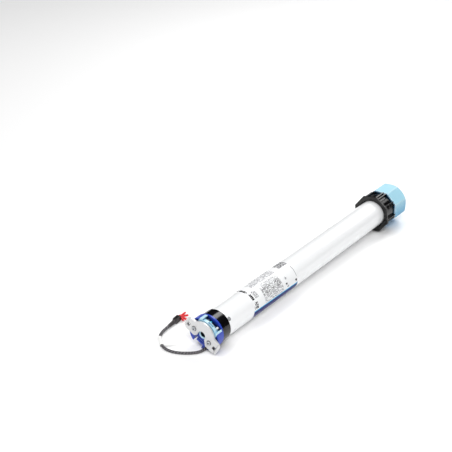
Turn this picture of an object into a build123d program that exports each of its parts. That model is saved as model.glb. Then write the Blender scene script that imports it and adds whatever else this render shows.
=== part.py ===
from build123d import *
import os
from math import cos, pi, radians, sin, tan

# A tubular roller blind motor: a white steel tube with a plug-in head at one end and a
# turning octagonal drive wheel at the other. The motor's axis is X, towards the wheel.
# The origin is at the mouth of the head's centre bore. Sizes are millimetres and degrees.

# Driving sizes
tube_diameter = 45.0
tube_wall = 1.2
tube_length = 465.0
head_turn = 29.5            # the head lies turned about the axis, ears tilted
flange_radius = 25.3
flange_length = 13.5
flange_front = 1.0
crown_radius = 23.7
crown_length = 19.0
wheel_across = 58.25        # octagon for a 60 mm octagonal roller tube
wheel_length = 40.5
ring_across = 61.0
ring_length = 30.1
ring_turn = -8.8            # the loose adapter ring lies turned against the wheel
face_gap = 0.3              # between end faces of pieces that turn or slide
fit_gap = 0.08              # radial running fit
seat_gap = 0.1              # between fixed pieces that seat in each other
overrun = 1.0               # how far cutters pass a face
half_side = 22.5            # from an octagon's flat to its corner, in degrees

tube_radius = tube_diameter / 2
tube_bore = tube_radius - tube_wall
core_radius = tube_bore - seat_gap
flange_end = flange_front + flange_length
crown_start = flange_end + face_gap
crown_end = crown_start + crown_length
tube_start = crown_end + face_gap
tube_end = tube_start + tube_length

# Stations inside the tube, from its wheel end back to the brake; the board bay takes the rest
cap_spigot_length = 26.0
case_length = 72.0
cover_length = 8.0
damper_length = 6.0
shield_length = 8.0
winding_room = 17.0
stator_length = 80.0
brake_length = 30.0
bay_room = 12.7             # left free for leads between the board carrier and the brake

case_end = tube_end - cap_spigot_length
case_start = case_end - case_length
cover_start = case_start - cover_length
damper_start = cover_start - damper_length
rear_shield_start = damper_start - shield_length
stator_end = rear_shield_start - winding_room
stator_start = stator_end - stator_length
front_shield_start = stator_start - winding_room - shield_length
brake_start = front_shield_start - brake_length

os.makedirs("parts", exist_ok=True)


def across(x, turn=0.0):
    """The plane across the axis at x, turned about it: its own x is +Y and its own y +Z at no turn."""
    way = radians(turn)
    return Plane(origin=(x, 0, 0), x_dir=(0, cos(way), sin(way)), z_dir=(1, 0, 0))


def turned(x):
    """The plane turned with the head: its own x runs along the ears, its own y is the head's up."""
    return across(x, head_turn)


def octagon_points(across_flats, turn):
    """Corners of an octagon with a flat on top, turned about the axis."""
    reach = across_flats / 2 / cos(pi / 8)
    return [
        (
            reach * cos(radians(half_side + 45 * k + turn)),
            reach * sin(radians(half_side + 45 * k + turn)),
        )
        for k in range(8)
    ]


def finish(piece, name):
    """Label a finished piece and write its file."""
    piece.part.label = name
    export_step(piece.part, f"parts/{name}.step")


# Blue moulded head housing: a flange with a pocket, and a spigot that goes into the tube
journal_radius = 21.6
spigot_length = 24.0
spigot_wall = 2.4
spigot_floor = 6.0
insert_half_width = 17.0
insert_bottom = 7.0
insert_depth = 11.0
boss_radius = 6.8
keyway_left = -7.7
keyway_right = 6.6
keyway_cut = 7.8              # into the flange, as the next two
side_key_cut = 13.3
cable_cut = 7.3
side_key_width = 3.6
cable_radius = 2.1
cable_across = -13.9
cable_notch = 4.5
plug_top = -9.0
slot_width = 12.5
slot_height = 1.5
slot_depth = 3.0
slot_across = -1.8
slot_rows = (-10.5, -13.9)
pillar_radius = 3.8
screw_across = 14.6
screw_shank = 1.9
screw_depth = 9.0
plate_back = -0.8
lead_radius = 0.9
lead_pitch = 2.6
lead_down = -9.0
lead_count = 4
rivet_angle = 53.0
rivet_from_tube_end = 3.0
rivet_shank = 1.2
rivet_head = 1.9
rivet_head_height = 0.25
rivet_depth = 3.0

flange_edge = 0.8
keyway_depth = flange_radius - keyway_cut
side_key_depth = flange_radius - side_key_cut
cable_down = cable_cut - flange_radius
pocket_end = flange_front + insert_depth
spigot_end = tube_start + spigot_length
rivet_x = tube_start + rivet_from_tube_end


def insert_outline(radius, grow):
    """Sketch of the light insert: an arc-topped block joined to the centre boss."""
    with BuildSketch(Plane.XY, mode=Mode.PRIVATE) as outline:
        Circle(radius)
        with Locations((0, insert_bottom - grow)):
            Rectangle(
                2 * (insert_half_width + grow), 2 * radius,
                align=(Align.CENTER, Align.MIN), mode=Mode.INTERSECT,
            )
        Circle(boss_radius + grow)
        with Locations((0, 0)):
            Rectangle(
                2 * (boss_radius + grow), insert_bottom + grow,
                align=(Align.CENTER, Align.MIN),
            )
    return outline.sketch


quarter_angles = [rivet_angle + 90 * k for k in range(4)]


def radial_plane(angle, x, radius):
    """A plane tangent to a circle about the axis; the angle is from the top towards -Y."""
    turn = radians(angle)
    return Plane(
        origin=(x, -radius * sin(turn), radius * cos(turn)),
        x_dir=(1, 0, 0),
        z_dir=(0, -sin(turn), cos(turn)),
    )


with BuildPart() as head_housing:
    with BuildSketch(across(flange_front)):
        Circle(flange_radius)
    extrude(amount=flange_length)
    chamfer(head_housing.edges().filter_by(GeomType.CIRCLE).sort_by(Axis.X)[0], flange_edge)
    with BuildSketch(across(flange_end)):
        Circle(journal_radius)
    extrude(amount=tube_start - flange_end)
    with BuildSketch(across(tube_start)):
        Circle(core_radius)
    extrude(amount=spigot_length)
    with BuildSketch(across(spigot_end)):
        Circle(core_radius - spigot_wall)
    extrude(amount=pocket_end + spigot_floor - spigot_end, mode=Mode.SUBTRACT)
    with BuildSketch(turned(plate_back)):
        with Locations((screw_across, 0), (-screw_across, 0)):
            Circle(pillar_radius)
    extrude(amount=flange_front + slot_depth - plate_back)
    with BuildSketch(turned(flange_front - overrun)):
        add(insert_outline(flange_radius + overrun, seat_gap))
    extrude(amount=insert_depth + overrun, mode=Mode.SUBTRACT)
    with BuildSketch(turned(plate_back - overrun)):
        with Locations((keyway_left, -keyway_depth)):
            Rectangle(keyway_right - keyway_left, flange_radius, align=(Align.MIN, Align.MAX))
        with Locations((keyway_right, -side_key_depth)):
            Rectangle(side_key_width, flange_radius, align=(Align.CENTER, Align.MAX))
        with Locations((cable_across, cable_down)):
            Rectangle(cable_notch, flange_radius, align=(Align.CENTER, Align.MAX))
        with Locations((cable_across, plug_top + seat_gap)):
            Rectangle(cable_notch, plug_top - cable_down + 2 * seat_gap, align=(Align.CENTER, Align.MAX))
    extrude(amount=pocket_end - plate_back + overrun, mode=Mode.SUBTRACT)
    with BuildSketch(turned(flange_front - overrun)):
        with Locations(*[(slot_across, row) for row in slot_rows]):
            Rectangle(slot_width, slot_height)
    extrude(amount=slot_depth + overrun, mode=Mode.SUBTRACT)
    with BuildSketch(turned(plate_back - overrun)):
        with Locations((screw_across, 0), (-screw_across, 0)):
            Circle(screw_shank + seat_gap)
    extrude(amount=screw_depth - plate_back + overrun, mode=Mode.SUBTRACT)
    with BuildSketch(turned(pocket_end)):
        with Locations((slot_across, lead_down)):
            with GridLocations(lead_pitch, lead_pitch, lead_count, 1):
                Circle(lead_radius + seat_gap)
    extrude(amount=spigot_floor, mode=Mode.SUBTRACT)
    for angle in quarter_angles:
        with BuildSketch(radial_plane(angle, rivet_x, core_radius - rivet_depth)):
            Circle(rivet_shank)
        extrude(amount=rivet_depth + overrun, mode=Mode.SUBTRACT)
finish(head_housing, "head_housing")

# Light blue insert: carries the setting buttons in its pocket and the centre bore
insert_front = 0.6
ledge_depth = 5.0
ledge_drop = 3.1              # below the flange, as the next two
pocket_left = -14.5
pocket_right = 12.5
pocket_drop = 10.8
window_left = -5.5
window_right = 4.0
window_front = 1.5
window_depth = 3.2
window_drop = 6.7
centre_bore_radius = 5.0
centre_bore_length = 9.0
button_radius = 1.6
button_depth = 5.2
button_x = 8.8
plus_button_across = 2.6
minus_button_across = -3.8
tab_across = -9.7
tab_width = 2.6
tab_length = 4.6
lens_across = 7.4
collar_radius = 2.4
collar_height = 3.2
socket_radius = 1.5
socket_depth = 4.0
socket_places = (10.9, -12.9)

ledge_radius = flange_radius - ledge_drop
pocket_floor = flange_radius - pocket_drop
window_floor = flange_radius - window_drop
pocket_start = insert_front + ledge_depth
pocket_mouth = flange_radius + overrun


def pocket_plane(height):
    """The plane of the pocket's floor, or above it: its own x is along the ears, its own y is +X."""
    turn = radians(head_turn)
    return Plane(
        origin=(0, -height * sin(turn), height * cos(turn)),
        x_dir=(0, cos(turn), sin(turn)),
        z_dir=(0, -sin(turn), cos(turn)),
    )


def pocket_place(along, x):
    """A place on a pocket plane, from the ears' direction and X."""
    return (along, -x)


with BuildPart() as head_insert:
    with BuildSketch(turned(insert_front)):
        add(insert_outline(flange_radius, 0))
    extrude(amount=pocket_end - seat_gap - insert_front)
    with BuildSketch(turned(0)):
        Circle(boss_radius)
    extrude(amount=insert_front)
    with BuildSketch(turned(insert_front)):
        Circle(flange_radius + overrun)
        Circle(ledge_radius, mode=Mode.SUBTRACT)
        with Locations(((pocket_left + pocket_right) / 2, pocket_mouth)):
            Rectangle(pocket_right - pocket_left, 2 * pocket_mouth, mode=Mode.INTERSECT)
    extrude(amount=ledge_depth, mode=Mode.SUBTRACT)
    with BuildSketch(turned(pocket_start)):
        with Locations((pocket_left, pocket_floor)):
            Rectangle(pocket_right - pocket_left, flange_radius, align=(Align.MIN, Align.MIN))
    extrude(amount=insert_depth, mode=Mode.SUBTRACT)
    with BuildSketch(turned(window_front)):
        with Locations((window_left, window_floor)):
            Rectangle(window_right - window_left, flange_radius, align=(Align.MIN, Align.MIN))
    extrude(amount=window_depth, mode=Mode.SUBTRACT)
    with BuildSketch(turned(0)):
        Circle(centre_bore_radius)
    extrude(amount=centre_bore_length, mode=Mode.SUBTRACT)
    with BuildSketch(pocket_plane(pocket_floor)):
        with Locations(pocket_place(minus_button_across, button_x)):
            Circle(collar_radius)
    extrude(amount=collar_height)
    with BuildSketch(pocket_plane(pocket_floor + collar_height)):
        with Locations(
            pocket_place(plus_button_across, button_x), pocket_place(minus_button_across, button_x)
        ):
            Circle(button_radius + seat_gap)
        with Locations(pocket_place(tab_across, button_x)):
            Rectangle(tab_width + 2 * seat_gap, tab_length + 2 * seat_gap)
    extrude(amount=-button_depth - collar_height, mode=Mode.SUBTRACT)
    with BuildSketch(pocket_plane(pocket_floor)):
        with Locations(*[pocket_place(place, button_x) for place in socket_places]):
            Circle(socket_radius)
    extrude(amount=-socket_depth, mode=Mode.SUBTRACT)
finish(head_insert, "head_insert")

# Setting buttons, release tab and status lens in the pocket, and the strip in the ledge's window
button_stroke = 1.0
button_rise = 5.5             # above the pocket's floor, as the next two
minus_button_rise = 5.1
tab_rise = 6.5
tab_slope = 1.2
lens_radius = 1.9
strip_thickness = 0.5

button_top = pocket_floor + button_rise
minus_button_top = pocket_floor + minus_button_rise
tab_top = pocket_floor + tab_rise
lens_top = minus_button_top
button_foot = pocket_floor - button_depth + button_stroke + face_gap


def button(across_place, top):
    """A round push button standing in its hole, with a slightly domed edge."""
    with BuildPart() as made:
        with BuildSketch(pocket_plane(button_foot)):
            with Locations(pocket_place(across_place, button_x)):
                Circle(button_radius)
        extrude(amount=top - button_foot)
        fillet(made.edges().group_by(pocket_axis)[-1], button_radius / 3)
    return made


pocket_axis = Axis((0, 0, 0), (0, -sin(radians(head_turn)), cos(radians(head_turn))))
plus_button = button(plus_button_across, button_top)
finish(plus_button, "plus_button")
minus_button = button(minus_button_across, minus_button_top)
finish(minus_button, "minus_button")

with BuildPart() as release_tab:
    with BuildSketch(pocket_plane(button_foot)):
        with Locations(pocket_place(tab_across, button_x)):
            Rectangle(tab_width, tab_length)
    extrude(amount=tab_top - button_foot)
    tab_edges = release_tab.edges().group_by(pocket_axis)[-1].sort_by(Axis.X)
    chamfer(tab_edges[-1], tab_slope)
finish(release_tab, "release_tab")

with BuildPart() as status_lens:
    with BuildSketch(pocket_plane(pocket_floor)):
        with Locations(pocket_place(lens_across, button_x)):
            Circle(lens_radius)
    extrude(amount=lens_top - pocket_floor)
    lens_rim = status_lens.edges().filter_by(GeomType.CIRCLE).sort_by(pocket_axis)[-1]
    fillet(lens_rim, lens_radius / 2)
finish(status_lens, "status_lens")

with BuildPart() as window_strip:
    with BuildSketch(turned(window_front)):
        with Locations((window_left, window_floor)):
            Rectangle(window_right - window_left, strip_thickness, align=(Align.MIN, Align.MIN))
    extrude(amount=window_depth)
finish(window_strip, "window_strip")

# Die-cast head plate: an arch with an ear at each side and a slot open at the bottom
plate_front = -4.0
plate_arch_radius = 21.3
plate_slot_radius = 6.6
plate_slot_flare = 10.2
plate_slot_flare_far = 13.5
plate_slot_lip = -5.8
plate_slot_lip_far = -2.4
plate_bottom = -9.6
ear_reach = 31.2
ear_half_height = 10.0
ear_corner = 3.4
ear_top = 5.5
ear_root_height = 13.0
ear_shoulder = 20.4
ear_tip_start = 27.0
ear_tip_step = 1.5
ear_hole_across = 24.8
ear_hole_width = 3.2
ear_hole_height = 4.4
ear_hole_down = -1.0
mark_width = 0.7
mark_height = 2.2
mark_up = 4.9
mark_depth = 0.5
mark_shift = 0.9

plate_thickness = plate_back - plate_front
arch_foot = -2.0

with BuildPart() as head_plate:
    with BuildSketch(turned(plate_front)):
        Circle(plate_arch_radius)
        with Locations((0, arch_foot)):
            Rectangle(
                2 * plate_arch_radius, 2 * plate_arch_radius,
                align=(Align.CENTER, Align.MIN), mode=Mode.INTERSECT,
            )
        with Locations((0, 0)):
            Rectangle(2 * ear_shoulder, -plate_bottom, align=(Align.CENTER, Align.MAX))
        for side in (1, -1):
            with BuildLine():
                Polyline(
                    (side * ear_shoulder / 2, -ear_half_height),
                    (side * ear_reach, -ear_half_height),
                    (side * ear_reach, ear_top),
                    (side * (ear_tip_start + ear_corner / 2), ear_half_height),
                    (side * ear_shoulder / 2, ear_root_height),
                    close=True,
                )
            make_face()
    extrude(amount=plate_thickness)
    ear_corners = head_plate.edges().filter_by(Axis.X).sort_by(Axis((0, 0, 0), (0, 1, 0)))
    fillet([ear_corners[0], ear_corners[1], ear_corners[-1], ear_corners[-2]], ear_corner)
    with BuildSketch(turned(plate_front)):
        Circle(plate_slot_radius)
        with BuildLine():
            Polyline(
                (-plate_slot_radius, 0),
                (plate_slot_radius, 0),
                (plate_slot_radius - seat_gap, plate_slot_lip),
                (plate_slot_flare, -ear_half_height - overrun),
                (-plate_slot_flare_far, -ear_half_height - overrun),
                (-plate_slot_radius, plate_slot_lip_far),
                close=True,
            )
        make_face()
    extrude(amount=plate_thickness, mode=Mode.SUBTRACT)
    for side in (1, -1):
        with BuildSketch(turned(plate_front)):
            with Locations((side * (ear_tip_start + ear_reach) / 2, 0)):
                Rectangle(ear_reach - ear_tip_start, 3 * ear_half_height)
        extrude(amount=ear_tip_step, mode=Mode.SUBTRACT)
        with BuildSketch(turned(plate_front)):
            with Locations((side * ear_hole_across, ear_hole_down)):
                Rectangle(ear_hole_width, ear_hole_height)
            with Locations((side * screw_across, 0)):
                Circle(screw_shank + seat_gap)
        extrude(amount=plate_thickness, mode=Mode.SUBTRACT)
        with BuildSketch(turned(plate_front)):
            with Locations((side * screw_across - mark_shift, mark_up)):
                Rectangle(mark_width, mark_height)
        extrude(amount=mark_depth, mode=Mode.SUBTRACT)
finish(head_plate, "head_plate")

# Two screws hold the plate on the housing's pillars
screw_head_radius = 3.3
screw_head_height = 1.9
screw_recess_radius = 1.3
screw_recess_depth = 1.1

with BuildPart() as head_screws:
    with BuildSketch(turned(plate_front - screw_head_height)):
        with Locations((screw_across, 0), (-screw_across, 0)):
            Circle(screw_head_radius)
    extrude(amount=screw_head_height)
    head_rims = head_screws.edges().filter_by(GeomType.CIRCLE).group_by(Axis.X)[0]
    fillet(head_rims, screw_head_height / 2)
    with BuildSketch(turned(plate_front)):
        with Locations((screw_across, 0), (-screw_across, 0)):
            Circle(screw_shank)
    extrude(amount=screw_depth - seat_gap - plate_front)
    with BuildSketch(turned(plate_front - screw_head_height)):
        with Locations((screw_across, 0), (-screw_across, 0)):
            RegularPolygon(screw_recess_radius, 6)
    extrude(amount=screw_recess_depth, mode=Mode.SUBTRACT)
finish(head_screws, "head_screws")

# Black running ring between the head and the tube, free to turn on the housing's journal
crown_edge = 0.6

with BuildPart() as crown_ring:
    with BuildSketch(across(crown_start)):
        Circle(crown_radius)
        Circle(journal_radius + fit_gap, mode=Mode.SUBTRACT)
    extrude(amount=crown_length)
    outer_rims = crown_ring.edges().filter_by(GeomType.CIRCLE).sort_by(SortBy.RADIUS)[-2:]
    chamfer(outer_rims, crown_edge)
finish(crown_ring, "crown_ring")

# White coated steel tube, with holes for the head's rivets and the gear end's screws
gear_screw_from_end = 10.0
gear_screw_shank = 1.5
gear_screw_head = 2.6
gear_screw_head_height = 0.6
gear_screw_depth = 6.0

gear_screw_x = tube_end - gear_screw_from_end

with BuildPart() as motor_tube:
    with BuildSketch(across(tube_start)):
        Circle(tube_radius)
        Circle(tube_bore, mode=Mode.SUBTRACT)
    extrude(amount=tube_length)
    for angle in quarter_angles:
        with BuildSketch(radial_plane(angle, rivet_x, tube_bore - overrun)):
            Circle(rivet_shank)
        extrude(amount=tube_wall + 2 * overrun, mode=Mode.SUBTRACT)
        with BuildSketch(radial_plane(angle, gear_screw_x, tube_bore - overrun)):
            Circle(gear_screw_shank)
        extrude(amount=tube_wall + 2 * overrun, mode=Mode.SUBTRACT)
finish(motor_tube, "motor_tube")


def radial_fasteners(name, x, shank, head, head_height, depth, clearance):
    """Four radial rivets or screws through the tube's wall, as one group."""
    with BuildPart() as made:
        for angle in quarter_angles:
            with BuildSketch(radial_plane(angle, x, core_radius - depth)):
                Circle(shank - clearance)
            extrude(amount=tube_radius + clearance - core_radius + depth)
            with BuildSketch(radial_plane(angle, x, tube_radius + clearance)):
                Circle(head)
            extrude(amount=head_height)
    finish(made, name)


fastener_gap = 0.05
radial_fasteners(
    "tube_rivets", rivet_x, rivet_shank, rivet_head, rivet_head_height,
    rivet_depth - fastener_gap, fastener_gap,
)
radial_fasteners(
    "gear_end_screws", gear_screw_x, gear_screw_shank, gear_screw_head,
    gear_screw_head_height, gear_screw_depth - fastener_gap, fastener_gap,
)

# Rating label: printed film round part of the tube
label_start = 93.5
label_length = 115.0
label_from = -35.0
label_to = 130.0
label_thickness = 0.15
label_glue = 0.05

label_inner = tube_radius + label_glue
label_outer = label_inner + label_thickness


def rim_point(radius, angle):
    """A point on a circle across the axis; the angle is from the top towards -Y."""
    return (-radius * sin(radians(angle)), radius * cos(radians(angle)))


def foil_outline(inner, outer, start, end):
    """Sketch of a curved strip between two radii and two angles."""
    middle = (start + end) / 2
    with BuildSketch(Plane.XY, mode=Mode.PRIVATE) as strip:
        with BuildLine():
            ThreePointArc(rim_point(inner, start), rim_point(inner, middle), rim_point(inner, end))
            Line(rim_point(inner, end), rim_point(outer, end))
            ThreePointArc(rim_point(outer, end), rim_point(outer, middle), rim_point(outer, start))
            Line(rim_point(outer, start), rim_point(inner, start))
        make_face()
    return strip.sketch


with BuildPart() as rating_label:
    with BuildSketch(across(label_start)):
        add(foil_outline(label_inner, label_outer, label_from, label_to))
    extrude(amount=label_length)
finish(rating_label, "rating_label")

# Electronics: a plastic carrier, the circuit board with its parts, and the run capacitor
carrier_wall = 1.4
carrier_edge = -3.0
board_start_gap = 3.0
board_share = 11 / 18         # of the room that the board and the capacitor share
board_width = 40.4
board_thickness = 1.6
capacitor_radius = 15.0
capacitor_gap = 4.0
carrier_end_room = 5.0
capacitor_edge = 2.0
hoop_width = 5.0
hoop_inset = 7.0

carrier_start = spigot_end + face_gap
carrier_length = brake_start - bay_room - carrier_start
parts_room = carrier_length - board_start_gap - capacitor_gap - carrier_end_room
board_length = board_share * parts_room
capacitor_length = parts_room - board_length
board_start = carrier_start + board_start_gap
board_top = carrier_edge + board_thickness
capacitor_start = board_start + board_length + capacitor_gap
capacitor_end = capacitor_start + capacitor_length

with BuildPart() as board_carrier:
    with BuildSketch(across(carrier_start)):
        Circle(core_radius)
        Circle(core_radius - carrier_wall, mode=Mode.SUBTRACT)
        with Locations((0, carrier_edge)):
            Rectangle(
                2 * core_radius, 2 * core_radius,
                align=(Align.CENTER, Align.MAX), mode=Mode.INTERSECT,
            )
    extrude(amount=carrier_length)
    for hoop_x in (capacitor_start + hoop_inset, capacitor_end - hoop_inset - hoop_width):
        with BuildSketch(across(hoop_x)):
            Circle(core_radius)
            Circle(capacitor_radius + seat_gap, mode=Mode.SUBTRACT)
        extrude(amount=hoop_width)
finish(board_carrier, "board_carrier")

with BuildPart() as circuit_board:
    with BuildSketch(across(board_start)):
        with Locations((0, carrier_edge)):
            Rectangle(board_width, board_thickness, align=(Align.CENTER, Align.MIN))
    extrude(amount=board_length)
finish(circuit_board, "circuit_board")

# Parts on the board, as shares of its length (start, length), then middle, width and height
board_part_sizes = {
    "terminals": (0.035, 0.1, 0.0, 20.0, 10.0),
    "transformer": (0.195, 0.295, 3.0, 20.0, 14.0),
    "relay_left": (0.545, 0.225, 8.0, 10.0, 12.0),
    "relay_right": (0.545, 0.225, -8.0, 10.0, 12.0),
    "receiver": (0.82, 0.135, 0.0, 22.0, 3.0),
}

with BuildPart() as board_parts:
    for start, length, middle, width, height in board_part_sizes.values():
        with BuildSketch(across(board_start + start * board_length)):
            with Locations((middle, board_top)):
                Rectangle(width, height, align=(Align.CENTER, Align.MIN))
        extrude(amount=length * board_length)
finish(board_parts, "board_parts")

with BuildPart() as run_capacitor:
    with BuildSketch(across(capacitor_start)):
        Circle(capacitor_radius)
    extrude(amount=capacitor_length)
    chamfer(run_capacitor.edges().filter_by(GeomType.CIRCLE), capacitor_edge)
finish(run_capacitor, "run_capacitor")

# Short inner leads run from the cable plug through the housing to the board
lead_end = carrier_start

with BuildPart() as inner_leads:
    with BuildSketch(turned(pocket_end)):
        with Locations((slot_across, lead_down)):
            with GridLocations(lead_pitch, lead_pitch, lead_count, 1):
                Circle(lead_radius)
    extrude(amount=lead_end - pocket_end)
finish(inner_leads, "inner_leads")

# Three planetary stages in one toothed case. Every tooth is a straight-sided wedge.
gear_module = 1.08
sun_teeth = 9
planet_teeth = 12
case_teeth = sun_teeth + 2 * planet_teeth
addendum_share = 0.8
dedendum_share = 1.2
flank_slack = 0.2
flank_angle = 24.0
planet_count = 3
stage_first_gap = 1.5
stage_gap = 0.5
case_end_room = 4.0
planet_shares = (12, 15, 19)
carrier_thicknesses = (5.0, 5.0, 8.0)
carrier_clearance = 0.7
pin_radius = 2.5
sun_hub_radius = 3.2

orbit = gear_module * (sun_teeth + planet_teeth) / 2
plain_room = stage_first_gap + sum(carrier_thicknesses) + 5 * stage_gap + case_end_room
tooth_room = case_length - plain_room
planet_widths = [tooth_room * share / sum(planet_shares) for share in planet_shares]


def gear_outline(teeth, inner=False):
    """Points of a straight-flanked gear; an inner gear's teeth point to the middle."""
    way = -1 if inner else 1
    pitch = gear_module * teeth / 2
    tip = pitch + way * addendum_share * gear_module
    root = pitch - way * dedendum_share * gear_module
    half = pi * gear_module / 4 - flank_slack
    points = []
    for tooth in range(teeth):
        middle = 2 * pi * tooth / teeth
        for radius, side in ((root, -1), (tip, -1), (tip, 1), (root, 1)):
            thick = half - way * (radius - pitch) * tan(radians(flank_angle))
            angle = middle + side * thick / radius
            points.append((radius * cos(angle), radius * sin(angle)))
    return points


def gear_face(teeth, turn=0.0, inner=False):
    """Sketch of a gear's outline, turned about its own axis."""
    with BuildSketch(Plane.XY, mode=Mode.PRIVATE) as face:
        with BuildLine():
            Polyline(*gear_outline(teeth, inner), close=True)
        make_face()
    return face.sketch.rotate(Axis.Z, turn)


with BuildPart() as gear_case:
    with BuildSketch(across(case_start)):
        Circle(core_radius)
        add(gear_face(case_teeth, inner=True), mode=Mode.SUBTRACT)
    extrude(amount=case_length)
finish(gear_case, "gear_case")

stage_starts = []
carrier_plates = []
station = case_start + stage_first_gap
for width, thickness in zip(planet_widths, carrier_thicknesses):
    stage_starts.append(station)
    carrier_plates.append(station + width + stage_gap)
    station += width + stage_gap + thickness + stage_gap

planet_angles = [360 / planet_count * k for k in range(planet_count)]
carrier_radius = gear_module * case_teeth / 2 - addendum_share * gear_module - carrier_clearance

for stage, (start, width) in enumerate(zip(stage_starts, planet_widths), start=1):
    for number, angle in enumerate(planet_angles, start=1):
        with BuildPart() as planet:
            with BuildSketch(across(start, angle)):
                with Locations((orbit, 0)):
                    add(gear_face(planet_teeth, 180 / planet_teeth))
                    Circle(pin_radius + fit_gap, mode=Mode.SUBTRACT)
            extrude(amount=width)
        finish(planet, f"planet_{stage}_{number}")

for stage in range(3):
    plate_x = carrier_plates[stage]
    with BuildPart() as carrier:
        with BuildSketch(across(plate_x)):
            Circle(carrier_radius)
            Circle(sun_hub_radius + seat_gap / 2, mode=Mode.SUBTRACT)
        extrude(amount=carrier_thicknesses[stage])
        with BuildSketch(across(plate_x)):
            with PolarLocations(orbit, planet_count):
                Circle(pin_radius)
        extrude(amount=-planet_widths[stage] - stage_gap)
    finish(carrier, f"carrier_{stage + 1}")

# The second and third suns sit in the plate of the carrier before them
for stage in (1, 2):
    plate_x = carrier_plates[stage - 1]
    thickness = carrier_thicknesses[stage - 1]
    with BuildPart() as sun:
        with BuildSketch(across(plate_x + thickness)):
            add(gear_face(sun_teeth))
        extrude(amount=planet_widths[stage] + stage_gap)
        with BuildSketch(across(plate_x)):
            Circle(sun_hub_radius)
        extrude(amount=thickness)
    finish(sun, f"sun_gear_{stage + 1}")

# Gear end: bearing cap screwed into the tube, the output shaft, and its bearing
cap_flange_length = 3.4
cap_flange_radius = 22.4
bearing_radius = 11.5
output_radius = 8.0
square_size = 12.0
square_length = 38.0
square_edge = 0.8
cap_wall = 3.0
cap_pocket_length = 14.0
hub_length = 6.0

cap_end = tube_end + cap_flange_length
plate_3_end = carrier_plates[2] + carrier_thicknesses[2]
wheel_start = cap_end + overrun
wheel_end = wheel_start + wheel_length

with BuildPart() as gear_end_cap:
    with BuildSketch(across(case_end)):
        Circle(core_radius)
    extrude(amount=cap_spigot_length)
    with BuildSketch(across(tube_end)):
        Circle(cap_flange_radius)
    extrude(amount=cap_flange_length)
    chamfer(gear_end_cap.edges().filter_by(GeomType.CIRCLE).sort_by(Axis.X)[-1], crown_edge)
    with BuildSketch(across(case_end)):
        Circle(core_radius - cap_wall)
        Circle(bearing_radius + cap_wall, mode=Mode.SUBTRACT)
    extrude(amount=cap_pocket_length, mode=Mode.SUBTRACT)
    with BuildSketch(across(case_end)):
        Circle(bearing_radius)
    extrude(amount=cap_end - case_end, mode=Mode.SUBTRACT)
    for angle in quarter_angles:
        with BuildSketch(radial_plane(angle, gear_screw_x, core_radius - gear_screw_depth)):
            Circle(gear_screw_shank)
        extrude(amount=gear_screw_depth + overrun, mode=Mode.SUBTRACT)
finish(gear_end_cap, "gear_end_cap")

with BuildPart() as output_bearing:
    with BuildSketch(across(case_end)):
        Circle(bearing_radius - seat_gap / 2)
        Circle(output_radius + fit_gap, mode=Mode.SUBTRACT)
    extrude(amount=cap_end - case_end - face_gap)
finish(output_bearing, "output_bearing")

with BuildPart() as output_shaft:
    with BuildSketch(across(plate_3_end)):
        Circle(output_radius)
    extrude(amount=wheel_start - plate_3_end)
    with BuildSketch(across(plate_3_end)):
        Circle(sun_hub_radius)
    extrude(amount=-hub_length)
    with BuildSketch(across(wheel_start)):
        Rectangle(square_size, square_size)
        fillet(vertices(), square_edge)
    extrude(amount=square_length)
    with BuildSketch(across(wheel_start + square_length)):
        Circle(gear_screw_shank)
    extrude(amount=-gear_screw_depth, mode=Mode.SUBTRACT)
finish(output_shaft, "output_shaft")

# Octagonal drive wheel: thin walls open towards the motor, a ribbed hub, and a closed end
# whose rim is turned off to a cone, which leaves a curved edge on every flat
wheel_wall = 2.3
wheel_end_wall = 4.5
wheel_end_radius = 27.0
wheel_end_taper = 5.2
wheel_corner = 0.5
wheel_hub_radius = 10.5
wheel_rib = 2.0
wheel_rib_start = 9.0
wheel_screw_recess = 5.2

wheel_end_face = wheel_end - wheel_end_wall
wheel_corner_reach = wheel_across / 2 / cos(pi / 8)

with BuildPart() as drive_wheel:
    with BuildSketch(across(wheel_start)):
        with BuildLine():
            Polyline(*octagon_points(wheel_across, 0), close=True)
        make_face()
    extrude(amount=wheel_length)
    chamfer(drive_wheel.edges().filter_by(Axis.X), wheel_corner)
    with BuildSketch(Plane.XY):
        with BuildLine():
            Polyline(
                (wheel_start - overrun, 0),
                (wheel_start - overrun, wheel_corner_reach),
                (wheel_end - wheel_end_taper, wheel_corner_reach),
                (wheel_end, wheel_end_radius),
                (wheel_end, 0),
                close=True,
            )
        make_face()
    revolve(axis=Axis.X, mode=Mode.INTERSECT)
    with BuildSketch(across(wheel_start)):
        with BuildLine():
            Polyline(*octagon_points(wheel_across - 2 * wheel_wall, 0), close=True)
        make_face()
    extrude(amount=wheel_length - wheel_end_wall, mode=Mode.SUBTRACT)
    with BuildSketch(across(wheel_start + wheel_rib_start)):
        Circle(wheel_hub_radius)
        with PolarLocations(wheel_hub_radius / 2, 8):
            Rectangle(wheel_across / 2 - wheel_wall - wheel_hub_radius / 2, wheel_rib,
                      align=(Align.MIN, Align.CENTER))
    extrude(amount=wheel_end_face - wheel_start - wheel_rib_start)
    with BuildSketch(across(wheel_start)):
        Rectangle(square_size + seat_gap, square_size + seat_gap)
    extrude(amount=square_length + seat_gap, mode=Mode.SUBTRACT)
    with BuildSketch(across(wheel_end)):
        Circle(gear_screw_shank + seat_gap)
    extrude(amount=-wheel_length, mode=Mode.SUBTRACT)
finish(drive_wheel, "drive_wheel")

with BuildPart() as wheel_screw:
    with BuildSketch(across(wheel_end)):
        Circle(wheel_screw_recess)
    extrude(amount=crown_edge * 3)
    chamfer(wheel_screw.edges().filter_by(GeomType.CIRCLE).sort_by(Axis.X)[-1], crown_edge)
    with BuildSketch(across(wheel_end)):
        Circle(gear_screw_shank - fastener_gap)
    extrude(amount=wheel_start + square_length - gear_screw_depth + seat_gap - wheel_end)
finish(wheel_screw, "wheel_screw")

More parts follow.
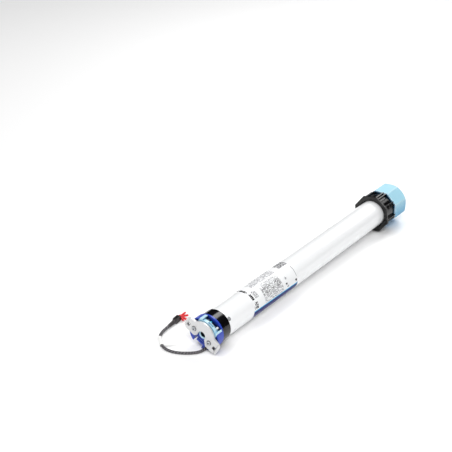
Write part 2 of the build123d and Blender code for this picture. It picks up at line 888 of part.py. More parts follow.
# Black adapter ring for the roller tube: an octagonal flange, a drum and paired ribs.
# It is pushed along the tube onto the running ring when the motor goes into the roller.
ring_bore_radius = 24.3
ring_flange_length = 2.2
drum_radius = 26.4
ring_rib_reach = 30.6
ring_rib = 1.6
ring_rib_spread = 4.6
ring_gap = 0.4

ring_end = wheel_start - ring_gap
ring_start = ring_end - ring_length

with BuildPart() as adapter_ring:
    with BuildSketch(across(ring_start)):
        with BuildLine():
            Polyline(*octagon_points(ring_across, ring_turn), close=True)
        make_face()
    extrude(amount=ring_flange_length)
    with BuildSketch(across(ring_start)):
        Circle(drum_radius)
    extrude(amount=ring_length)
    for corner in range(8):
        for side in (-1, 1):
            turn = half_side + 45 * corner + ring_turn + side * ring_rib_spread
            with BuildSketch(across(ring_start, turn)):
                with Locations((drum_radius - ring_rib, 0)):
                    Rectangle(ring_rib_reach + ring_rib - drum_radius, ring_rib,
                              align=(Align.MIN, Align.CENTER))
            extrude(amount=ring_length)
    with BuildSketch(across(ring_start)):
        Circle(ring_bore_radius)
    extrude(amount=ring_length, mode=Mode.SUBTRACT)
finish(adapter_ring, "adapter_ring")

# Gearbox cover with the bush that carries the rotor shaft in front of the first sun
shaft_radius = 4.0
bush_radius = 7.0
shaft_end_radius = 2.9

shaft_step = stage_starts[0] - stage_gap
sun_1_end = stage_starts[0] + planet_widths[0]

with BuildPart() as gearbox_cover:
    with BuildSketch(across(cover_start)):
        Circle(core_radius)
        Circle(bush_radius, mode=Mode.SUBTRACT)
    extrude(amount=cover_length)
finish(gearbox_cover, "gearbox_cover")


with BuildPart() as sun_gear_1:
    with BuildSketch(across(shaft_step)):
        add(gear_face(sun_teeth))
        Circle(shaft_end_radius + seat_gap / 2, mode=Mode.SUBTRACT)
    extrude(amount=sun_1_end - shaft_step)
finish(sun_gear_1, "sun_gear_1")

# Motor: rubber ring, end shields, slotted stator core with its windings, and the rotor
shield_rim_wall = 1.6
air_gap = 0.35
rotor_radius = 10.0
rotor_length = 50.0
stator_slots = 12
stator_slot_width = 3.0
stator_slot_start = 12.2
stator_slot_end = 18.2
winding_inner = 11.8
winding_outer = 19.6
winding_length = 14.0
winding_round = 3.0
brake_wall = 1.7
brake_floor = 3.0

shaft_start = brake_start + brake_floor + stage_gap
rotor_start = (stator_start + stator_end - rotor_length) / 2

with BuildPart() as rubber_damper:
    with BuildSketch(across(damper_start)):
        Circle(core_radius)
        Circle(bush_radius + winding_round, mode=Mode.SUBTRACT)
    extrude(amount=damper_length)
finish(rubber_damper, "rubber_damper")


def end_shield(name, start, inward):
    """An end shield: a disc with a bush seat and a rim that reaches towards the stator."""
    with BuildPart() as made:
        with BuildSketch(across(start)):
            Circle(core_radius)
            Circle(bush_radius, mode=Mode.SUBTRACT)
        extrude(amount=shield_length)
        rim_base = start + shield_length if inward > 0 else start
        with BuildSketch(across(rim_base)):
            Circle(core_radius)
            Circle(core_radius - shield_rim_wall, mode=Mode.SUBTRACT)
        extrude(amount=inward * winding_room)
    finish(made, name)


end_shield("front_end_shield", front_shield_start, 1)
end_shield("rear_end_shield", rear_shield_start, -1)

# Plain sintered bushes carry the rotor shaft in both end shields and in the gearbox cover
with BuildPart() as shaft_bushes:
    for bush_start in (front_shield_start, rear_shield_start, cover_start):
        with BuildSketch(across(bush_start)):
            Circle(bush_radius - seat_gap / 2)
            Circle(shaft_radius + fit_gap, mode=Mode.SUBTRACT)
        extrude(amount=shield_length)
finish(shaft_bushes, "shaft_bushes")

slot_middle = (stator_slot_start + stator_slot_end) / 2
slot_reach = stator_slot_end - stator_slot_start

with BuildPart() as stator_core:
    with BuildSketch(across(stator_start)):
        Circle(core_radius)
        Circle(rotor_radius + air_gap, mode=Mode.SUBTRACT)
        with PolarLocations(slot_middle, stator_slots):
            Rectangle(slot_reach, stator_slot_width, mode=Mode.SUBTRACT)
    extrude(amount=stator_length)
finish(stator_core, "stator_core")

with BuildPart() as stator_windings:
    with BuildSketch(across(stator_start - winding_length)):
        with PolarLocations(slot_middle, stator_slots):
            Rectangle(slot_reach - 2 * seat_gap, stator_slot_width - 2 * seat_gap)
    extrude(amount=stator_length + 2 * winding_length)
    for end_start in (stator_start - winding_length, stator_end + seat_gap):
        with BuildSketch(across(end_start)):
            Circle(winding_outer)
            Circle(winding_inner, mode=Mode.SUBTRACT)
        extrude(amount=winding_length - seat_gap)
    ends = stator_windings.edges().filter_by(GeomType.CIRCLE)
    chamfer([ends.sort_by(Axis.X)[0], ends.sort_by(Axis.X)[-1]], winding_round / 2)
finish(stator_windings, "stator_windings")

with BuildPart() as rotor_core:
    with BuildSketch(across(rotor_start)):
        Circle(rotor_radius)
        Circle(shaft_radius + fastener_gap, mode=Mode.SUBTRACT)
    extrude(amount=rotor_length)
finish(rotor_core, "rotor_core")

with BuildPart() as rotor_shaft:
    with BuildSketch(across(shaft_start)):
        Circle(shaft_radius)
    extrude(amount=shaft_step - stage_gap - shaft_start)
    with BuildSketch(across(shaft_step - stage_gap)):
        Circle(shaft_end_radius)
    extrude(amount=sun_1_end - shaft_step + stage_gap)
finish(rotor_shaft, "rotor_shaft")

# Spring-applied brake: a disc on the rotor shaft between a fixed ring and a sliding plate
brake_disc_radius = 14.0
brake_disc_thickness = 4.0
brake_plate_thickness = 4.0
brake_plate_radius = 19.2
brake_lift = 0.5
brake_gap = 0.15
brake_bore = 5.5
friction_ring_thickness = 3.0
friction_ring_inner = 9.0
key_width = 3.0
key_count = 3
spring_thickness = 0.8
spring_rise = 2.6
spring_outer = 15.5
spring_inner = 8.5

case_bore = core_radius - brake_wall
friction_start = front_shield_start - friction_ring_thickness
disc_start = friction_start - brake_gap - brake_disc_thickness
plate_start = disc_start - brake_gap - brake_plate_thickness
spring_end = plate_start - brake_lift - face_gap
magnet_length = spring_end - spring_rise - spring_thickness - brake_start

with BuildPart() as brake_case:
    with BuildSketch(across(brake_start)):
        Circle(core_radius)
    extrude(amount=brake_length)
    with BuildSketch(across(brake_start + magnet_length)):
        Circle(case_bore)
        with PolarLocations(case_bore, key_count):
            Rectangle(2 * (case_bore - brake_plate_radius + key_width / 2), key_width, mode=Mode.SUBTRACT)
    extrude(amount=brake_length, mode=Mode.SUBTRACT)
    with BuildSketch(across(brake_start + brake_floor)):
        Circle(shaft_radius + seat_gap * 5)
    extrude(amount=magnet_length, mode=Mode.SUBTRACT)
finish(brake_case, "brake_case")

with BuildPart() as brake_friction_ring:
    with BuildSketch(across(friction_start)):
        Circle(case_bore - key_width)
        Circle(friction_ring_inner, mode=Mode.SUBTRACT)
    extrude(amount=friction_ring_thickness)
finish(brake_friction_ring, "brake_friction_ring")

with BuildPart() as brake_disc:
    with BuildSketch(across(disc_start)):
        Circle(brake_disc_radius)
        Circle(shaft_radius + fastener_gap, mode=Mode.SUBTRACT)
    extrude(amount=brake_disc_thickness)
finish(brake_disc, "brake_disc")

with BuildPart() as brake_plate:
    with BuildSketch(across(plate_start)):
        Circle(brake_plate_radius)
        Circle(brake_bore, mode=Mode.SUBTRACT)
        with PolarLocations(case_bore, key_count):
            Rectangle(
                2 * (case_bore - brake_plate_radius + key_width / 2 + face_gap),
                key_width + 2 * face_gap, mode=Mode.SUBTRACT,
            )
    extrude(amount=brake_plate_thickness)
finish(brake_plate, "brake_plate")

with BuildPart() as brake_spring:
    with BuildSketch(Plane.XY):
        with BuildLine():
            Polyline(
                (spring_end, spring_inner),
                (spring_end - spring_rise, spring_outer),
                (spring_end - spring_rise - spring_thickness, spring_outer),
                (spring_end - spring_thickness, spring_inner),
                close=True,
            )
        make_face()
    revolve(axis=Axis.X)
finish(brake_spring, "brake_spring")

# Short connecting cable, from the plug in the head to the moulded connector at its end.
# It lies on the floor in a loop; the floor falls slightly towards the wheel end, because
# the adapter ring's flange reaches lower than the head.
plug_front = 3.0
cord_route = [
    (3.0, -3.24, -22.51),
    (-5.0, -3.24, -22.51),
    (-12.8, -0.2, -22.75),
    (-20.0, 6.4, -22.8),
    (-27.4, 16.4, -22.72),
    (-32.6, 28.4, -22.65),
    (-33.2, 40.0, -22.55),
    (-30.0, 50.0, -22.0),
    (-14.7, 66.8, -21.95),
    (-5.5, 71.5, -21.9),
    (4.3, 73.6, -21.65),
    (16.7, 74.7, -21.5),
]
relief_start_radius = 2.6
relief_end_radius = 3.3
relief_length = 13.0
relief_ribs = 4
relief_groove = 0.5
relief_rib_offset = 0.35
connector_radius = 3.6
connector_length = 15.0
connector_edge = 0.8

plug_width = cable_notch - 2 * seat_gap

with BuildPart() as cable_plug:
    with BuildSketch(turned(plug_front)):
        with Locations((cable_across, plug_top)):
            Rectangle(plug_width, plug_top - cable_down, align=(Align.CENTER, Align.MAX))
        with Locations((cable_across, cable_down)):
            Circle(plug_width / 2)
    extrude(amount=pocket_end - seat_gap - plug_front)
finish(cable_plug, "cable_plug")


arc_share = 0.45


def route_radii(points):
    """The largest arc at each corner of a route that leaves a little straight between arcs."""
    found = []
    for before, at, after in zip(points, points[1:], points[2:]):
        come = Vector(*at) - Vector(*before)
        leave = Vector(*after) - Vector(*at)
        half_turn = radians(come.get_angle(leave)) / 2
        found.append(arc_share * min(come.length, leave.length) / tan(half_turn))
    return found


cord_radii = route_radii(cord_route)
print("cord radii", [round(r, 1) for r in cord_radii])

with BuildPart() as cord:
    with BuildLine() as cord_path:
        FilletPolyline(*cord_route, radius=cord_radii)
    cord_start = cord_path.line @ 0
    cord_heading = cord_path.line % 0
    with BuildSketch(Plane(origin=cord_start, z_dir=cord_heading)):
        Circle(cable_radius)
    sweep(path=cord_path.line)
finish(cord, "cord")
cord_length = cord_path.wires()[0].length
print("cord length", round(cord_length, 1))
print("cord volume over section", round(cord.part.volume / (pi * cable_radius**2), 1))

connector_axis = (Vector(*cord_route[-1]) - Vector(*cord_route[-2])).normalized()


def on_connector(along):
    """A plane square to the connector's axis, at a distance from the cable's end."""
    return Plane(
        origin=Vector(*cord_route[-1]) + connector_axis * along,
        x_dir=(0, 0, 1),
        z_dir=connector_axis,
    )


rib_pitch = relief_length / relief_ribs

with BuildPart() as cord_connector:
    for rib in range(relief_ribs):
        share = (rib + 1) / relief_ribs
        rib_radius = relief_start_radius + (relief_end_radius - relief_start_radius) * share
        with BuildSketch(on_connector(rib * rib_pitch)):
            Circle(rib_radius - relief_groove)
        extrude(amount=rib_pitch)
        with BuildSketch(on_connector((rib + relief_rib_offset) * rib_pitch)):
            Circle(rib_radius)
        extrude(amount=rib_pitch / 2)
    with BuildSketch(on_connector(relief_length)):
        Circle(connector_radius)
    extrude(amount=connector_length)
    body_rims = cord_connector.faces().sort_by(Axis(cord_route[-1], tuple(connector_axis)))[-1].edges()
    chamfer(body_rims, connector_edge)
finish(cord_connector, "cord_connector")

# Red guard on the connector's contacts: a collar with splayed soft prongs
guard_radius = 3.0
guard_length = 4.0
prong_radius = 1.6

# Each prong, as its bearing from +X over the floor, its rise and its length
prongs = ((-10.0, 6.0, 11.0), (-38.0, 0.0, 9.0), (-82.0, -4.0, 8.5), (92.0, 10.0, 6.0))

guard_start = relief_length + connector_length
prong_root = on_connector(guard_start + guard_length / 2).origin

with BuildPart() as connector_guard:
    with BuildSketch(on_connector(guard_start)):
        Circle(guard_radius)
    extrude(amount=guard_length)
    for bearing, rise, reach in prongs:
        level = cos(radians(rise))
        heading = (cos(radians(bearing)) * level, sin(radians(bearing)) * level, sin(radians(rise)))
        with BuildSketch(Plane(origin=prong_root, z_dir=heading)):
            Circle(prong_radius)
        extrude(amount=reach)
finish(connector_guard, "connector_guard")

# Paper flag tag folded round the cable, plain on both sides
tag_collar = 2.8
tag_thickness = 0.2
tag_length = 22.0
tag_reach = 21.0
tag_droop = 6.5

tag_from, tag_to = [Vector(*point) for point in cord_route[7:9]]
tag_axis = (tag_to - tag_from).normalized()
tag_middle = (tag_from + tag_to) / 2
tag_plane = Plane(
    origin=tag_middle - tag_axis * (tag_length / 2),
    x_dir=tag_axis.cross(Vector(0, 0, 1)),
    z_dir=tag_axis,
)

with BuildPart() as cord_tag:
    with BuildSketch(tag_plane):
        Circle(tag_collar + tag_thickness)
        with Locations(Rotation(0, 0, tag_droop)):
            Rectangle(tag_reach, 2 * tag_thickness, align=(Align.MIN, Align.CENTER))
        Circle(tag_collar, mode=Mode.SUBTRACT)
    extrude(amount=tag_length)
finish(cord_tag, "cord_tag")
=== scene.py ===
from math import atan, cos, pi, radians, sin

import bmesh
import bpy
from mathutils import Matrix, Vector


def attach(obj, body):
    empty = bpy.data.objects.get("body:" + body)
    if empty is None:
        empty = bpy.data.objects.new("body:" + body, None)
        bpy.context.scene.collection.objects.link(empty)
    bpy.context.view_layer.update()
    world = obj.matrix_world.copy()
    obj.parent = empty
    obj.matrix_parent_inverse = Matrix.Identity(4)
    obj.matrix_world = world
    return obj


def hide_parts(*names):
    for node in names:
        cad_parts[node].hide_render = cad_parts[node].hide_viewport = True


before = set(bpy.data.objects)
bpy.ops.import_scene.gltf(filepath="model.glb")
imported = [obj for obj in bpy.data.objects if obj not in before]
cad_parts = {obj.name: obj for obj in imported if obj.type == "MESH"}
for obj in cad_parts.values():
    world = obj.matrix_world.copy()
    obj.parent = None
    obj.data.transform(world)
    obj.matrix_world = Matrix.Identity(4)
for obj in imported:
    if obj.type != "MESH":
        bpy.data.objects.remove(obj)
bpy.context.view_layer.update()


# The studio: a matt white laminate table, a pale room with soft boxes, and a camera like the
# photograph's. The motor lies on its head and on the adapter ring's flange, whose corner
# reaches lower, so its axis rises a little to the wheel: here the table falls away instead.
def srgb(hexa):
    """A colour written as the screen shows it, turned to linear light."""
    parts = [int(hexa[i:i + 2], 16) / 255 for i in (1, 3, 5)]
    return [c / 12.92 if c <= 0.04045 else ((c + 0.055) / 1.055) ** 2.4 for c in parts] + [1.0]


def add_node(material, kind, inputs=None, **settings):
    """Adds a shader node: settings are its properties, inputs are plain values or outputs to link."""
    made = material.node_tree.nodes.new(kind)
    for key, value in settings.items():
        setattr(made, key, value)
    for key, value in (inputs or {}).items():
        if isinstance(value, bpy.types.NodeSocket):
            material.node_tree.links.new(value, made.inputs[key])
        else:
            made.inputs[key].default_value = value
    return made


def new_material(name):
    """An empty node material."""
    made = bpy.data.materials.new(name)
    made.use_nodes = True
    made.node_tree.nodes.clear()
    return made


def object_from(name, mesh_data, material):
    """Closes a bmesh into an object at the origin, with its material."""
    mesh = bpy.data.meshes.new(name)
    mesh_data.to_mesh(mesh)
    mesh_data.free()
    made = bpy.data.objects.new(name, mesh)
    bpy.context.scene.collection.objects.link(made)
    mesh.materials.append(material)
    return made


photo_pixels = 452
focal_pixels = 1150.0
camera_place = Vector((-1.0864, -0.8264, 0.8533))
camera_heading = Vector((0.72394, 0.52442, -0.44822))
sensor_width = 36.0

camera_data = bpy.data.cameras.new("camera")
camera_data.sensor_fit = "HORIZONTAL"
camera_data.sensor_width = sensor_width
camera_data.lens = sensor_width * focal_pixels / photo_pixels
camera = bpy.data.objects.new("camera", camera_data)
camera.location = camera_place
camera.rotation_euler = camera_heading.to_track_quat("-Z", "Y").to_euler()
bpy.context.scene.collection.objects.link(camera)
bpy.context.scene.camera = camera

flange_front = 0.001
flange_radius = 0.0253
table_fall = 0.01432
table_reach = 6.0
table_glow = 0.07

table_mesh = bmesh.new()
bmesh.ops.create_grid(table_mesh, x_segments=1, y_segments=1, size=table_reach)
bmesh.ops.rotate(table_mesh, verts=table_mesh.verts, matrix=Matrix.Rotation(atan(table_fall), 3, "Y"))
bmesh.ops.translate(table_mesh, verts=table_mesh.verts, vec=(flange_front, 0, -flange_radius))
table_white = new_material("white_laminate_table")
table_surface = add_node(table_white, "ShaderNodeBsdfPrincipled", {
    "Base Color": srgb("#fafafa"), "Roughness": 0.75, "Specular IOR Level": 0.2,
    "Emission Color": srgb("#ffffff"), "Emission Strength": table_glow,
})
add_node(table_white, "ShaderNodeOutputMaterial", {"Surface": table_surface.outputs[0]})
table = object_from("table", table_mesh, table_white)

# The room's tones follow the direction looked in: its rise over the floor, and how far it
# turns to the wheel's end, where the wall is dark and keeps the blacks deep.
wall_grey = "#5c5e62"
wall_top = 0.1
ceiling_white = "#ffffff"
ceiling_from = 0.7
end_wall_grey = "#3c3d40"
end_wall_from = 0.3
end_wall_full = 0.6
room_strength = 0.4

room = bpy.data.worlds.new("studio")
bpy.context.scene.world = room
room.use_nodes = True
room.node_tree.nodes.clear()
room_place = add_node(room, "ShaderNodeTexCoord").outputs["Generated"]
room_axes = add_node(room, "ShaderNodeSeparateXYZ", {0: room_place})
room_height = add_node(
    room, "ShaderNodeMapRange",
    {"Value": room_axes.outputs["Z"], "From Min": wall_top, "From Max": ceiling_from},
    interpolation_type="SMOOTHSTEP",
)
room_end = add_node(
    room, "ShaderNodeMapRange",
    {"Value": room_axes.outputs["X"], "From Min": end_wall_from, "From Max": end_wall_full},
    interpolation_type="SMOOTHSTEP",
)
room_tone = add_node(
    room, "ShaderNodeMix",
    {"Factor": room_height.outputs[0], 6: srgb(wall_grey), 7: srgb(ceiling_white)}, data_type="RGBA",
)
room_wall = add_node(
    room, "ShaderNodeMix",
    {"Factor": room_end.outputs[0], 6: room_tone.outputs[2], 7: srgb(end_wall_grey)}, data_type="RGBA",
)
room_light = add_node(
    room, "ShaderNodeBackground", {"Color": room_wall.outputs[2], "Strength": room_strength}
)
add_node(room, "ShaderNodeOutputWorld", {"Surface": room_light.outputs[0]})

# A window's soft light comes from high on the camera's left
window_strength = 0.7
window_spread = radians(34)
window_heading = Vector((0.4, -0.55, -1.3))

window_data = bpy.data.lights.new("window_light", "SUN")
window_data.energy = window_strength
window_data.angle = window_spread
window = bpy.data.objects.new("window_light", window_data)
window.rotation_euler = window_heading.to_track_quat("-Z", "Y").to_euler()
bpy.context.scene.collection.objects.link(window)

# Each soft box: its name, its place, the station of the motor that it is turned to, its
# width and height in metres, and its power in watts
soft_boxes = (
    ("front_box", (-1.3, -0.5, 0.9), 0.1, (0.7, 0.5), 3.0),
    ("far_strip", (1.55, 0.2, 1.25), 0.25, (0.8, 1.3), 18.0),
    ("camera_fill", (-1.0, -0.9, 1.6), 0.2, (1.0, 0.8), 23.0),
    ("end_box", (1.9, -0.5, 1.0), 0.45, (0.3, 0.3), 1.0),
)
for box_name, box_place, box_station, box_size, box_power in soft_boxes:
    box_data = bpy.data.lights.new(box_name, "AREA")
    box_data.shape = "RECTANGLE"
    box_data.size, box_data.size_y = box_size
    box_data.energy = box_power
    box = bpy.data.objects.new(box_name, box_data)
    box.location = box_place
    box_heading = Vector((box_station, 0, 0)) - Vector(box_place)
    box.rotation_euler = box_heading.to_track_quat("-Z", "Y").to_euler()
    bpy.context.scene.collection.objects.link(box)

# The connecting cable: cores laid up under a soft black jacket, so its surface turns in a
# slow spiral of ridges, whose crests are painted paler as highlights. It comes out of its plug
# in the head and lies on the table in one open loop.
mm = 0.001
cord_route = [
    (3.0, -3.24, -22.51),
    (-5.0, -3.24, -22.51),
    (-12.8, -0.2, -22.75),
    (-20.0, 6.4, -22.8),
    (-27.4, 16.4, -22.72),
    (-32.6, 28.4, -22.65),
    (-33.2, 40.0, -22.55),
    (-30.0, 50.0, -22.0),
    (-14.7, 66.8, -21.95),
    (-5.5, 71.5, -21.9),
    (4.3, 73.6, -21.65),
    (16.7, 74.7, -21.5),
]
cord_diameter = 0.0042
cord_lay = 0.009
cord_length = 0.1277
cord_ridges = 2
ridge_height = 0.35 * mm

cord_points = [Vector(p) * mm for p in cord_route]
cord_curve = bpy.data.curves.new("connecting_cable", "CURVE")
cord_curve.dimensions = "3D"
cord_curve.resolution_u = 24
cord_curve.bevel_depth = cord_diameter / 2
cord_curve.bevel_resolution = 8
cord_curve.use_fill_caps = True
spline = cord_curve.splines.new("NURBS")
spline.points.add(len(cord_points) - 1)
for control, point in zip(spline.points, cord_points):
    control.co = (*point, 1.0)
spline.order_u = 3
spline.use_endpoint_u = True

cable_jacket = new_material("pvc_cable_jacket")
cable_uv = add_node(cable_jacket, "ShaderNodeTexCoord").outputs["UV"]
cable_axes = add_node(cable_jacket, "ShaderNodeSeparateXYZ", {0: cable_uv})
cable_lays = add_node(
    cable_jacket, "ShaderNodeMath", {0: cable_axes.outputs["X"], 1: cord_length / cord_lay},
    operation="MULTIPLY",
)
cable_turns = add_node(
    cable_jacket, "ShaderNodeMath", {0: cable_lays.outputs[0], 1: cable_axes.outputs["Y"]},
    operation="ADD",
)
cable_angle = add_node(
    cable_jacket, "ShaderNodeMath", {0: cable_turns.outputs[0], 1: 2 * pi * cord_ridges},
    operation="MULTIPLY",
)
cable_ridge = add_node(cable_jacket, "ShaderNodeMath", {0: cable_angle.outputs[0]}, operation="SINE")
# Painted highlight: the ridges' crests get a paler colour than the jacket's own black
cable_ridge_highlight = add_node(
    cable_jacket, "ShaderNodeMapRange", {"Value": cable_ridge.outputs[0], "From Min": -1.0}
)
cable_highlighted_colour = add_node(
    cable_jacket, "ShaderNodeMix",
    {"Factor": cable_ridge_highlight.outputs[0], 6: srgb("#100f11"), 7: srgb("#787579")}, data_type="RGBA",
)
cable_bump = add_node(
    cable_jacket, "ShaderNodeBump",
    {"Height": cable_ridge.outputs[0], "Distance": ridge_height, "Strength": 0.8},
)
cable_surface = add_node(cable_jacket, "ShaderNodeBsdfPrincipled", {
    "Base Color": cable_highlighted_colour.outputs[2], "Normal": cable_bump.outputs[0], "Roughness": 0.42,
})
add_node(cable_jacket, "ShaderNodeOutputMaterial", {"Surface": cable_surface.outputs[0]})
cord_curve.materials.append(cable_jacket)
cable = bpy.data.objects.new("connecting_cable", cord_curve)
bpy.context.scene.collection.objects.link(cable)
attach(cable, "motor")
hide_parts("cord")

# The connector at the cable's end: black vinyl moulded on the cable, with a tapered, ribbed
# strain relief and a waist near the contacts. The soft vinyl has a low sheen, and its edges
# are painted paler as highlights.
mottle_size = 12.0
mottle_detail = 3.0
grain_detail = 2.0
bump_strength = 0.6
roughness_spread = 0.05
least_roughness = 0.02
corner_from = 0.999
corner_full = 0.93
hollow_from = 0.85


def surface_finish(name, colour, roughness, grain=0.4, grain_depth=0.1, mottle=0.04, metallic=0.0,
                   coat=0.0, ior=1.5, specular=0.5, edge=0.35, edge_highlight=None, painted_shade=None, paint=None):
    """A solid material with a fine grain, a slight mottle and softened edges, sized in millimetres.

    The grains are drawn coarser than the moulds' real texture, as coarse as they need to show.
    The edge colour is painted on its corners as a highlight. The hollow colour is painted in its
    hollows as shade, with how far off their walls may stand and the open share at which it is
    full. paint adds what is painted on.
    """
    made = new_material(name)
    place = add_node(made, "ShaderNodeTexCoord").outputs["Object"]
    fine = add_node(
        made, "ShaderNodeTexNoise", {"Vector": place, "Scale": 1 / (grain * mm), "Detail": grain_detail}
    )
    broad = add_node(
        made, "ShaderNodeTexNoise",
        {"Vector": place, "Scale": 1 / (mottle_size * mm), "Detail": mottle_detail},
    )
    tone = add_node(
        made, "ShaderNodeMapRange",
        {"Value": broad.outputs["Fac"], "To Min": 1 - mottle, "To Max": 1 + mottle},
    )
    shade = add_node(
        made, "ShaderNodeVectorMath", {0: srgb(colour)[:3], "Scale": tone.outputs[0]}, operation="SCALE"
    )
    rough = add_node(made, "ShaderNodeMapRange", {
        "Value": fine.outputs["Fac"],
        "To Min": max(least_roughness, roughness - roughness_spread),
        "To Max": roughness + roughness_spread,
    })
    softened = add_node(made, "ShaderNodeBevel", {"Radius": edge * mm})
    tinted = paint(made, shade.outputs[0]) if paint else shade.outputs[0]
    # Painted shade: a darker colour mixed in where ambient occlusion finds walls close by
    if painted_shade:
        hollow_shade_colour, hollow_depth, full_at = painted_shade
        open_share = add_node(
            made, "ShaderNodeAmbientOcclusion", {"Distance": hollow_depth * mm}, samples=8
        )
        hollow_shade = add_node(
            made, "ShaderNodeMapRange",
            {"Value": open_share.outputs["AO"], "From Min": hollow_from, "From Max": full_at},
        )
        tinted = add_node(
            made, "ShaderNodeMix", {"Factor": hollow_shade.outputs[0], 6: tinted, 7: srgb(hollow_shade_colour)},
            data_type="RGBA",
        ).outputs[2]
    # Painted highlight: a paler colour on the corners, where the softened normal bends off the true one
    if edge_highlight:
        facing = add_node(made, "ShaderNodeNewGeometry").outputs["True Normal"]
        bent = add_node(
            made, "ShaderNodeVectorMath", {0: softened.outputs[0], 1: facing}, operation="DOT_PRODUCT"
        )
        corner = add_node(
            made, "ShaderNodeMapRange",
            {"Value": bent.outputs["Value"], "From Min": corner_from, "From Max": corner_full},
        )
        tinted = add_node(
            made, "ShaderNodeMix", {"Factor": corner.outputs[0], 6: tinted, 7: srgb(edge_highlight)},
            data_type="RGBA",
        ).outputs[2]
    bump = add_node(made, "ShaderNodeBump", {
        "Height": fine.outputs["Fac"], "Normal": softened.outputs[0],
        "Distance": grain_depth * grain * mm, "Strength": bump_strength,
    })
    surface = add_node(made, "ShaderNodeBsdfPrincipled", {
        "Base Color": tinted, "Roughness": rough.outputs[0], "Normal": bump.outputs[0],
        "Metallic": metallic, "IOR": ior, "Specular IOR Level": specular, "Coat Weight": coat,
    })
    add_node(made, "ShaderNodeOutputMaterial", {"Surface": surface.outputs[0]})
    return made


def spun(name, profile, start, heading, material, steps=40):
    """A turned piece: a profile of (along, radius) in millimetres, spun about a line."""
    turned = bmesh.new()
    chain = [turned.verts.new((radius * mm, 0, along * mm)) for along, radius in profile]
    for a, b in zip(chain, chain[1:]):
        turned.edges.new((a, b))
    bmesh.ops.spin(
        turned, geom=turned.verts[:] + turned.edges[:], cent=(0, 0, 0), axis=(0, 0, 1),
        angle=2 * pi, steps=steps, use_merge=True,
    )
    bmesh.ops.remove_doubles(turned, verts=turned.verts, dist=1e-7)
    bmesh.ops.recalc_face_normals(turned, faces=turned.faces)
    turn = Vector(heading).to_track_quat("Z", "Y").to_matrix().to_4x4()
    bmesh.ops.transform(turned, matrix=Matrix.Translation(start) @ turn, verts=turned.verts)
    for face in turned.faces:
        face.smooth = True
    return object_from(name, turned, material)


connector_heading = (cord_points[-1] - cord_points[-2]).normalized()
relief_length = 13.0
relief_ribs = 5
relief_mouth = 2.15
relief_root = 2.1
relief_swell = 0.5
rib_outline = ((0.15, 0.35), (0.65, 0.5), (0.75, -0.05), (0.98, 0.1))  # share of pitch, rise
connector_length = 15.0
body_radius = 3.55
shoulder_radius = 3.0
shoulder_length = 0.8
waist_from = 6.0
waist_to = 7.4
waist_slope = 0.2
waist_radius = 3.2
rim_radius = 2.9
rim_length = 0.7

connector_end = relief_length + connector_length
connector_profile = [(0.0, 0.0), (0.0, relief_mouth)]
rib_pitch = relief_length / relief_ribs
for rib in range(relief_ribs):
    root_radius = relief_root + relief_swell * rib / relief_ribs
    connector_profile += [
        ((rib + pitch_share) * rib_pitch, root_radius + rise) for pitch_share, rise in rib_outline
    ]
connector_profile += [
    (relief_length, shoulder_radius),
    (relief_length + shoulder_length, body_radius),
    (relief_length + waist_from, body_radius),
    (relief_length + waist_from + waist_slope, waist_radius),
    (relief_length + waist_to - waist_slope, waist_radius),
    (relief_length + waist_to, body_radius),
    (connector_end - rim_length, body_radius),
    (connector_end, rim_radius),
    (connector_end, 0.0),
]
black_vinyl = surface_finish(
    "moulded_black_pvc", "#1a1819", 0.3, grain=0.5, grain_depth=0.15, specular=0.42, edge_highlight="#544e50"
)
connector = spun("cable_connector", connector_profile, cord_points[-1], connector_heading, black_vinyl)
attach(connector, "motor")
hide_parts("cord_connector")

# The connector's grip: a square-sided block round the body, with rounded corners for the
# fingers. It is moulded with the connector, of the same black vinyl.
grip_from = 8.0
grip_length = 12.5
grip_width = 7.4
grip_height = 8.1
grip_corner = 1.0

grip_mesh = bmesh.new()
bmesh.ops.create_cube(
    grip_mesh, size=1.0,
    matrix=Matrix.Translation(cord_points[-1] + connector_heading * (relief_length + grip_from) * mm)
    @ connector_heading.to_track_quat("X", "Z").to_matrix().to_4x4()
    @ Matrix.Diagonal((grip_length * mm, grip_width * mm, grip_height * mm, 1.0)),
)
bmesh.ops.bevel(
    grip_mesh, geom=grip_mesh.edges[:], affect="EDGES", offset=grip_corner * mm, segments=4,
    profile=0.5, material=-1,
)
for face in grip_mesh.faces:
    face.smooth = True
grip = object_from("connector_grip", grip_mesh, black_vinyl)
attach(grip, "motor")

# The red guard: a cap of soft, bright vinyl pushed on the contacts, with four round-ended
# prongs that stand out unevenly from its collar, with painted shade where they meet.
collar_length = 4.0
collar_foot_radius = 3.0
collar_top_radius = 2.8
prong_foot_radius = 1.8
prong_tip_radius = 1.4
prong_shortening = 0.1
prongs = ((-5.0, 10.0, 12.0), (-40.0, 4.0, 12.5), (-80.0, -8.0, 10.5), (-110.0, -11.0, 9.5))
guard_rounding = 0.5
sharp_angle = 1.2

